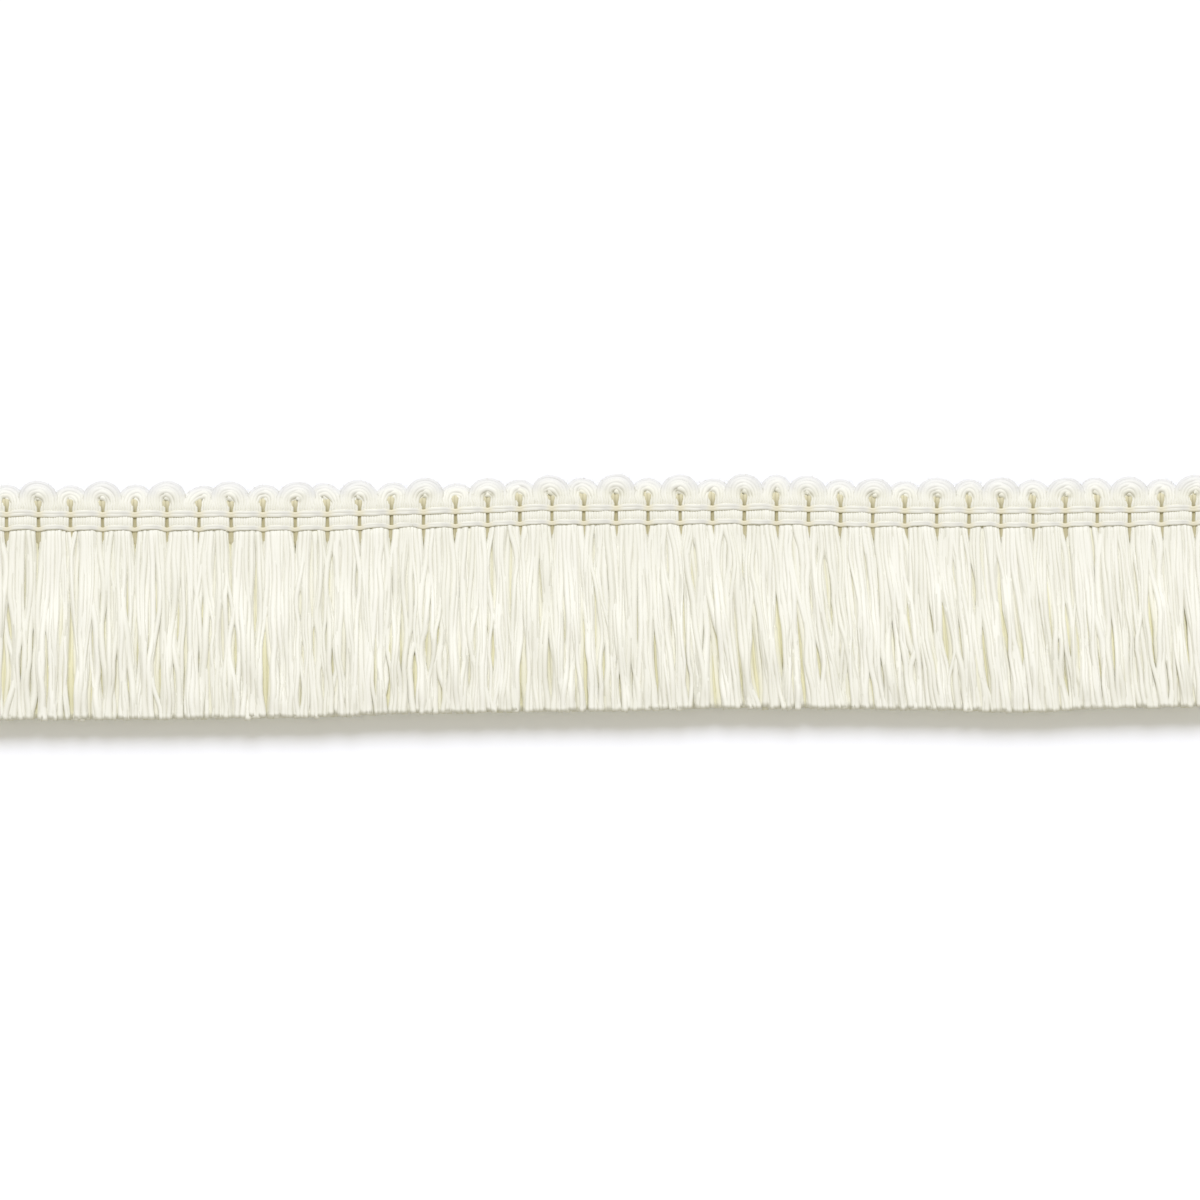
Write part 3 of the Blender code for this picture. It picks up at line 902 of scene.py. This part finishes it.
def fibre_material(name, light, dark, deep, edge, roughness, streak):
    """A yarn finish: light and dark mixed by the yarn's shade and by a noise drawn out
    along it, then mixed with the deep tone by the depth, which paints shade, and with the grey
    edge tone by the grey value that the piece keeps, which paints shade too, and the noise as
    a low bump."""
    made = bpy.data.materials.new(name)
    made.use_nodes = True
    tree = made.node_tree
    shader = tree.nodes["Principled BSDF"]
    shader.inputs["Roughness"].default_value = roughness
    shader.inputs["Specular IOR Level"].default_value = 0.2
    place = tree.nodes.new("ShaderNodeUVMap")
    place.uv_map = "yarn"
    stretch = new_node(tree, "ShaderNodeMapping")
    stretch.inputs["Scale"].default_value = streak
    noise = new_node(tree, "ShaderNodeTexNoise", Scale=1.0, Detail=3.0, Roughness=0.6)
    average = tree.nodes.new("ShaderNodeMix")
    average.inputs["Factor"].default_value = 0.35
    bump = new_node(tree, "ShaderNodeBump", Strength=0.5, Distance=0.0001)
    link = tree.links.new
    link(place.outputs["UV"], stretch.inputs["Vector"])
    link(stretch.outputs["Vector"], noise.inputs["Vector"])
    link(kept_value(tree, "shade"), average.inputs["A"])
    link(noise.outputs["Fac"], average.inputs["B"])
    face = colour_mix(tree, average.outputs["Result"], dark, light)
    # Painted shade: the deep tone by depth, then the grey edge tone by the kept grey value.
    body = colour_mix(tree, kept_value(tree, "depth"), face, deep)
    whole = colour_mix(tree, kept_value(tree, "painted_grey"), body, edge)
    link(whole, shader.inputs["Base Color"])
    link(noise.outputs["Fac"], bump.inputs["Height"])
    link(bump.outputs["Normal"], shader.inputs["Normal"])
    return made


# deep and edge are painted shade: a darker, warmer tone for deep yarn and a grey one for edges.
ivory_yarn = fibre_material(
    "ivory_yarn",
    light=(0.877, 0.865, 0.770, 1),
    dark=(0.807, 0.794, 0.683, 1),
    deep=(0.74, 0.71, 0.47, 1),
    edge=(0.70, 0.695, 0.655, 1),
    roughness=0.75,
    streak=(6.0, 1.4, 1.0),
)
# The thread's tones are darker than the yarn's: painted shade that keeps its lit side from
# shining brighter than the ribs. Its deep and edge tones are painted shade too.
ivory_thread = fibre_material(
    "ivory_thread",
    light=(0.79, 0.78, 0.69, 1),
    dark=(0.75, 0.74, 0.65, 1),
    deep=(0.72, 0.67, 0.48, 1),
    edge=(0.64, 0.63, 0.57, 1),
    roughness=0.7,
    streak=(4.0, 6.0, 1.0),
)
# Painted shade all over: the yarn of the back, darker and warmer to stand for the shade in the
# slits.
painted_shade_yarn = fibre_material(
    "painted_shade_yarn",
    light=(0.71, 0.665, 0.46, 1),
    dark=(0.67, 0.625, 0.42, 1),
    deep=(0.46, 0.415, 0.24, 1),
    edge=(0.46, 0.415, 0.24, 1),
    roughness=0.75,
    streak=(6.0, 1.4, 1.0),
)
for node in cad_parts.values():
    node.data.materials.clear()
    node.data.materials.append(ivory_yarn)
print("finishes:", ivory_yarn.name, painted_shade_yarn.name, ivory_thread.name)

# %% Each piece rides on the frame and stands for its CAD nodes
for piece, node in (
    (high_loops, "heading"),
    (low_loops, "heading"),
    (end_bundles, "heading"),
    (edge_fibres, "heading"),
    (inner_strands, "skirt"),
    (middle_strands, "skirt"),
    (upper_strands, "skirt"),
    (tip_fibres, "skirt"),
):
    piece.data.materials.append(ivory_yarn)
    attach(piece, "root")
    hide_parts(node)
groove_yarns.data.materials.append(painted_shade_yarn)
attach(groove_yarns, "root")
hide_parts("heading")
for piece, node in ((upper_thread, "upper_binder"), (lower_thread, "lower_binder")):
    piece.data.materials.append(ivory_thread)
    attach(piece, "root")
    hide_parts(node)

# %% [markdown]
# ## Floor, light and camera
#
# The trim lies on a white surface and is seen from straight above. A large soft light
# comes from beyond the arches and draws the shadow under the cut ends; the sky fills the
# rest and is a little warmer than the light, so shade on ivory stays creamy. The camera has
# a long lens, so that the ends of the trim don't seem to turn.

# %% Floor
bpy.ops.mesh.primitive_plane_add(size=4.0, location=(0, 0, 0))
floor = bpy.context.object
floor.name = "floor"
paper = bpy.data.materials.new("white_surface")
paper.use_nodes = True
paper_shader = paper.node_tree.nodes["Principled BSDF"]
paper_shader.inputs["Base Color"].default_value = (0.96, 0.965, 0.975, 1)
paper_shader.inputs["Roughness"].default_value = 0.9
paper_shader.inputs["Specular IOR Level"].default_value = 0.1
floor.data.materials.append(paper)

# %% Light
SKY_STRENGTH = 0.60
SUN_STRENGTH = 2.38
SUN_TILT = 48
SUN_ANGLE = 0.50
world = bpy.data.worlds.new("studio")
bpy.context.scene.world = world
world.use_nodes = True
sky = world.node_tree.nodes["Background"]
sky.inputs["Color"].default_value = (1.0, 0.967, 0.87, 1)
sky.inputs["Strength"].default_value = SKY_STRENGTH
key_data = bpy.data.lights.new("key", "SUN")
key_data.energy = SUN_STRENGTH
key_data.color = (1.0, 1.03, 1.20)
key_data.angle = SUN_ANGLE
key = bpy.data.objects.new("key", key_data)
key.rotation_euler = (np.radians(-SUN_TILT), 0.0, 0.0)
bpy.context.scene.collection.objects.link(key)

# %% Camera
FRAME_WIDTH = 198.0
LENS = 110.0
SENSOR = 36.0
FACE_HEIGHT = 3.0
MIDDLE_OF_VIEW = -12.4
camera_data = bpy.data.cameras.new("camera")
camera_data.lens = LENS
camera_data.sensor_width = SENSOR
camera = bpy.data.objects.new("camera", camera_data)
distance = FRAME_WIDTH * LENS / SENSOR + FACE_HEIGHT
camera.location = (0.0, (HEADING_LINE + MIDDLE_OF_VIEW) * MM, distance * MM)
bpy.context.scene.collection.objects.link(camera)
bpy.context.scene.camera = camera
bpy.context.scene.view_settings.view_transform = "Standard"
print("camera height in mm:", round(distance))
